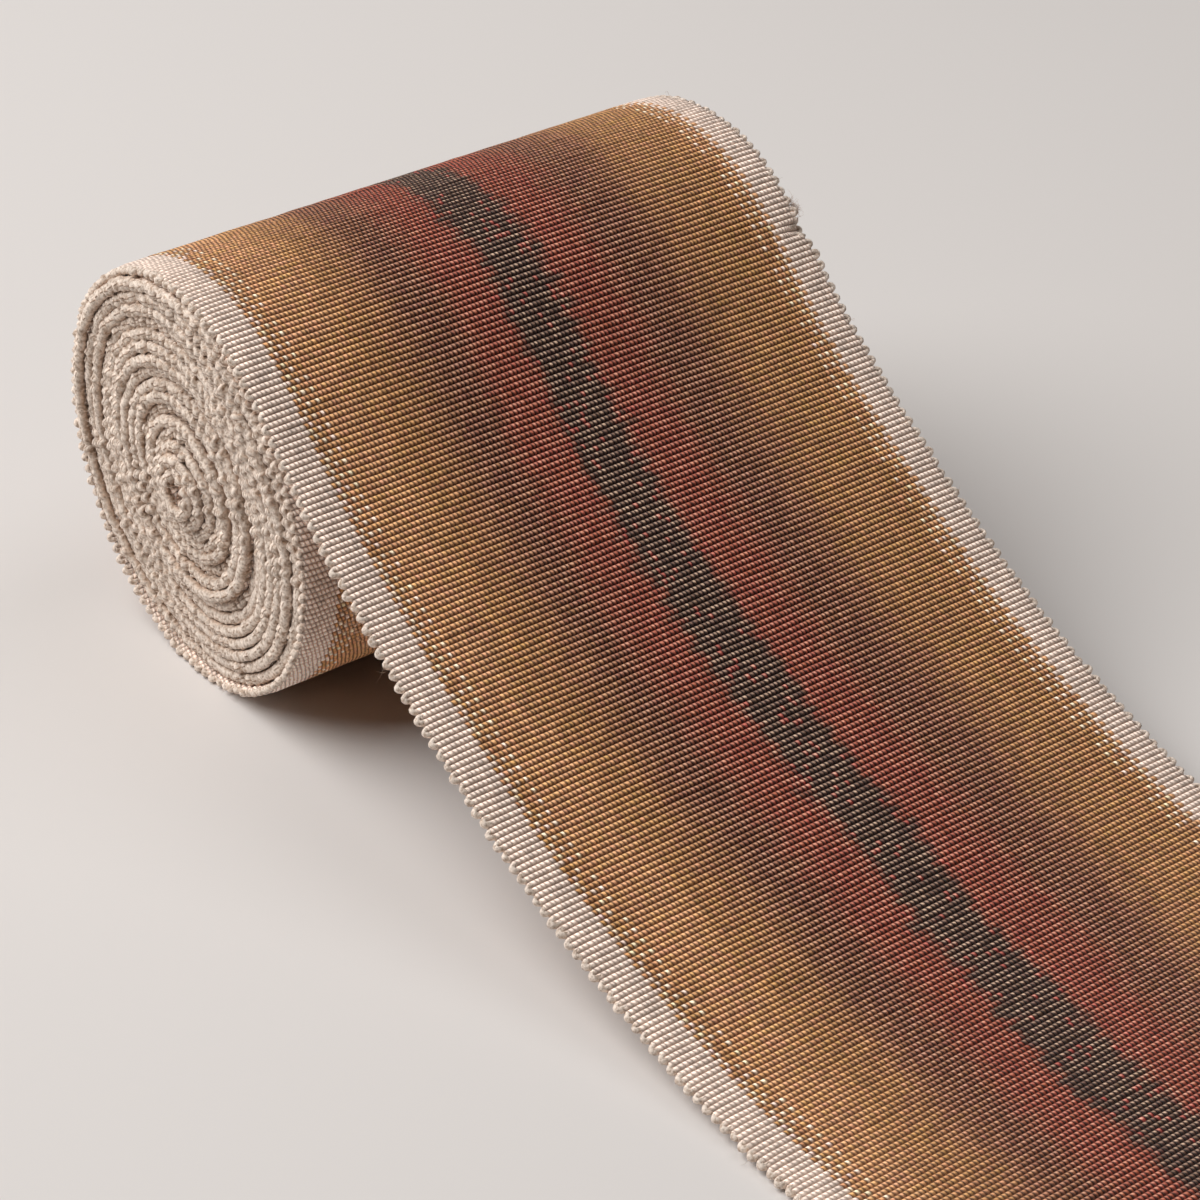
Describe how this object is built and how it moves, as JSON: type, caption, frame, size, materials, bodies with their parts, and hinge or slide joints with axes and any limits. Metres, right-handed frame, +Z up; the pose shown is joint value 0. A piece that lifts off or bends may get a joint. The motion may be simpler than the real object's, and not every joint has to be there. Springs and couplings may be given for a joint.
{
  "type": "rolled tape trim",
  "caption": "Wide ribbed cotton tape wound in a roll, its loose end drawn off the top and laid flat in front, with shaded lengthwise stripes and pale looped selvedges.",
  "frame": {"origin": "centre of the bounding box's bottom, on the surface that the roll and the loose end lie on", "axes": "+X along the loose end, away from the roll, +Y along the roll's axis, +Z up"},
  "size_m": [0.177, 0.0774, 0.0528],
  "materials": {
    "cloth": "matte ribbed cotton weave, shaded lengthwise stripes from ochre through brown and red to charcoal, cream selvedges"
  },
  "bodies": {
    "root": {"tape": "cloth"}
  },
  "joints": []
}
